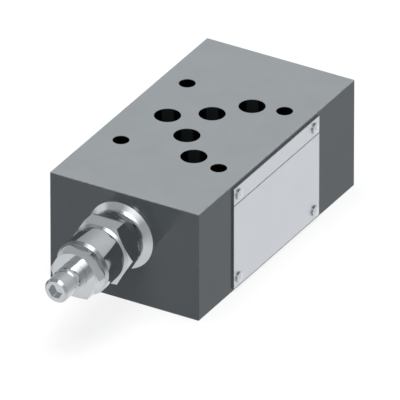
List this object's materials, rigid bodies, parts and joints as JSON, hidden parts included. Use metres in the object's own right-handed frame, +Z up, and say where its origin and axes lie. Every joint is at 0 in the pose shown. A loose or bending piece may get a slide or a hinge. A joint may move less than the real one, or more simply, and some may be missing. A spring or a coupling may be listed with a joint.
{
  "type": "hydraulic sandwich valve",
  "caption": "Stackable hydraulic plate with a size 10 port pattern through it and a screw-set pressure relief cartridge in one end.",
  "frame": {"origin": "centre of the bottom face, which is also the centre of the bolt pattern", "axes": "+X along the block, away from the cartridge; +Z up, out of the top face; the name plate faces -Y"},
  "size_m": [0.1806, 0.0717, 0.05],
  "materials": {
    "block_steel": "phosphated, satin dark grey",
    "plate_aluminium": "satin anodised",
    "rivet_steel": "bright",
    "plated_steel": "bright zinc plated",
    "hardened_steel": "ground",
    "spring_steel": "drawn, oiled",
    "seal_rubber": "matt",
    "backup_plastic": "matt white"
  },
  "bodies": {
    "block": {"valve_block": "block_steel", "seal_p": "seal_rubber", "seal_a": "seal_rubber", "seal_b": "seal_rubber", "seal_t": "seal_rubber", "seal_t_left": "seal_rubber", "name_plate": "plate_aluminium", "plate_rivets": "rivet_steel", "cartridge_body": "plated_steel", "body_seal": "seal_rubber", "adjuster_housing": "plated_steel", "housing_seal": "seal_rubber", "valve_cage": "hardened_steel", "poppet_seat": "hardened_steel", "cage_seal": "seal_rubber", "cage_backup_ring": "backup_plastic", "relief_spring": "spring_steel"},
    "seat": {"spring_seat": "hardened_steel", "seat_seal": "seal_rubber"},
    "screw": {"adjusting_screw": "plated_steel", "screw_stop_ring": "spring_steel"},
    "nut_seal": {"lock_nut_seal": "seal_rubber"},
    "nut": {"lock_nut": "plated_steel"},
    "poppet": {"relief_poppet": "hardened_steel", "spring_cup": "hardened_steel", "preload_shim": "spring_steel"}
  },
  "joints": [
    {"name": "pressure_setting", "type": "slide", "parent": "block", "child": "seat", "axis": [1, 0, 0], "range_m": [-0.002, 0.004], "deforming": ["relief_spring"]},
    {"name": "screw_turn", "type": "hinge", "parent": "seat", "child": "screw", "pos_m": [-0.1, 0.0016, 0.0299], "axis": [1, 0, 0], "range_deg": [-577, 1153]},
    {"name": "nut_release", "type": "slide", "parent": "block", "child": "nut_seal", "axis": [-1, 0, 0], "range_m": [0, 0.0025]},
    {"name": "nut_turn", "type": "hinge", "parent": "nut_seal", "child": "nut", "pos_m": [-0.0987, 0.0016, 0.0299], "axis": [-1, 0, 0], "range_deg": [0, 721]},
    {"name": "poppet_lift", "type": "slide", "parent": "block", "child": "poppet", "axis": [-1, 0, 0], "range_m": [0, 0.0008], "stiffness_N_per_m": 4000, "deforming": ["relief_spring"]}
  ],
  "couplings": [
    {"joint": "screw_turn", "follows": "pressure_setting", "rad_per_m": 5026.5},
    {"joint": "nut_turn", "follows": "nut_release", "rad_per_m": 5026.5}
  ]
}
